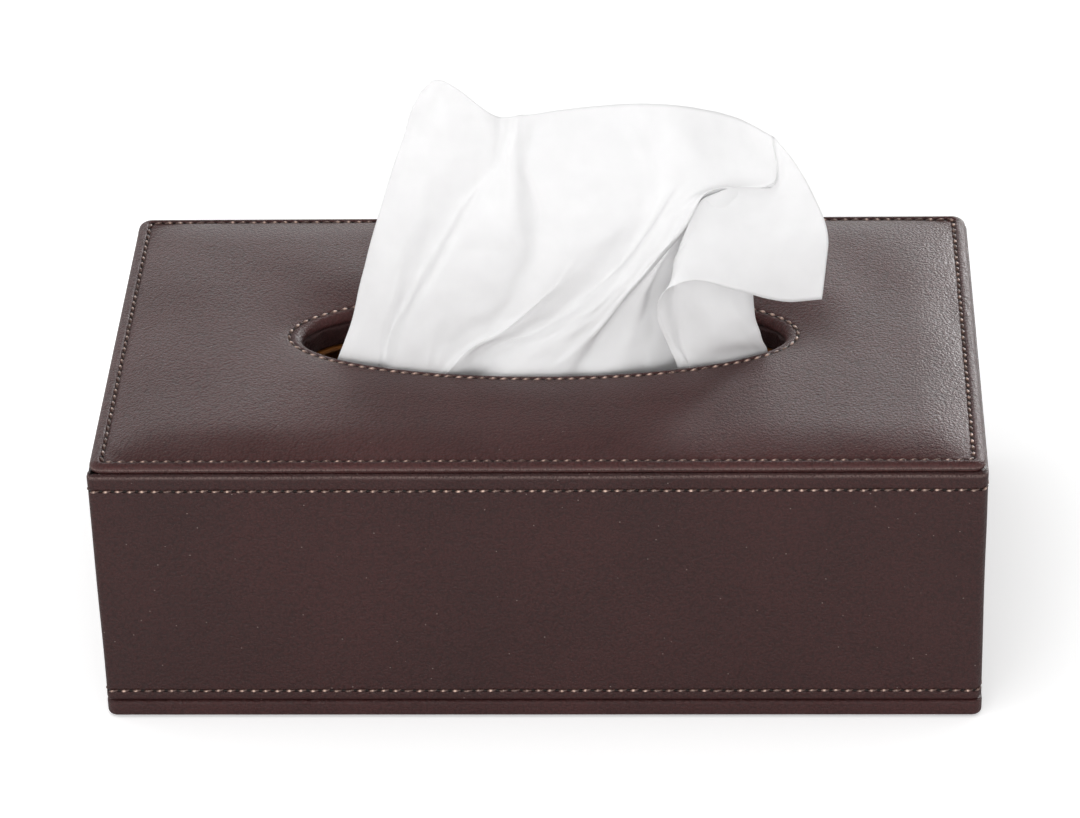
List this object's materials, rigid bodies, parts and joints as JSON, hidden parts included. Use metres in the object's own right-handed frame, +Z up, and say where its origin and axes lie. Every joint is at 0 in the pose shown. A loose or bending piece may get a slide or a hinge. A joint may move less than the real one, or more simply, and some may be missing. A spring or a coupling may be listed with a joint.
{
  "type": "tissue box with drawer",
  "caption": "Rectangular leather-covered tissue box with a padded top, an oval opening with a tissue standing out of it, and an end drawer that holds the tissue carton.",
  "frame": {"origin": "centre of the footprint, on the surface that the box stands on", "axes": "+X along the long side, away from the drawer front; -Y towards the long stitched front; +Z up, out of the oval opening"},
  "size_m": [0.2554, 0.1404, 0.177],
  "materials": {
    "leather_brown": "satin",
    "mdf": "matte",
    "wrapped_board": "matte",
    "card_brown": "matte",
    "suede_lining": "matte",
    "felt_black": "matte",
    "foam": "matte",
    "steel": "satin",
    "magnet": "polished",
    "carton_card": "satin",
    "tissue_paper": "matte"
  },
  "bodies": {
    "shell": {"base_felt": "felt_black", "base_board": "mdf", "base_cover": "leather_brown", "floor_lining": "suede_lining", "stop_strip": "card_brown", "end_wall_board": "mdf", "steel_discs": "steel", "front_wall_board": "mdf", "back_wall_board": "mdf", "wall_lining": "suede_lining", "wall_cover": "leather_brown", "inner_top_board": "mdf", "inner_top_lining": "suede_lining", "opening_collar": "leather_brown", "top_board": "card_brown", "top_foam": "foam", "top_cover": "leather_brown"},
    "drawer": {"drawer_floor": "wrapped_board", "drawer_front_side": "wrapped_board", "drawer_back_side": "wrapped_board", "drawer_tail": "wrapped_board", "drawer_magnets": "magnet", "drawer_lining": "suede_lining", "drawer_front_board": "mdf", "drawer_front_cover": "leather_brown", "drawer_glides": "felt_black", "catch_strip": "card_brown", "tissue_carton": "carton_card", "tissue_stack": "tissue_paper"},
    "tissue": {"pulled_tissue": "tissue_paper"}
  },
  "joints": [
    {"name": "drawer_slide", "type": "slide", "parent": "shell", "child": "drawer", "axis": [-1, 0, 0], "range_m": [0, 0.19]},
    {"name": "tissue_pull", "type": "slide", "parent": "shell", "child": "tissue", "axis": [0, 0, 1], "range_m": [0, 0.11]}
  ]
}
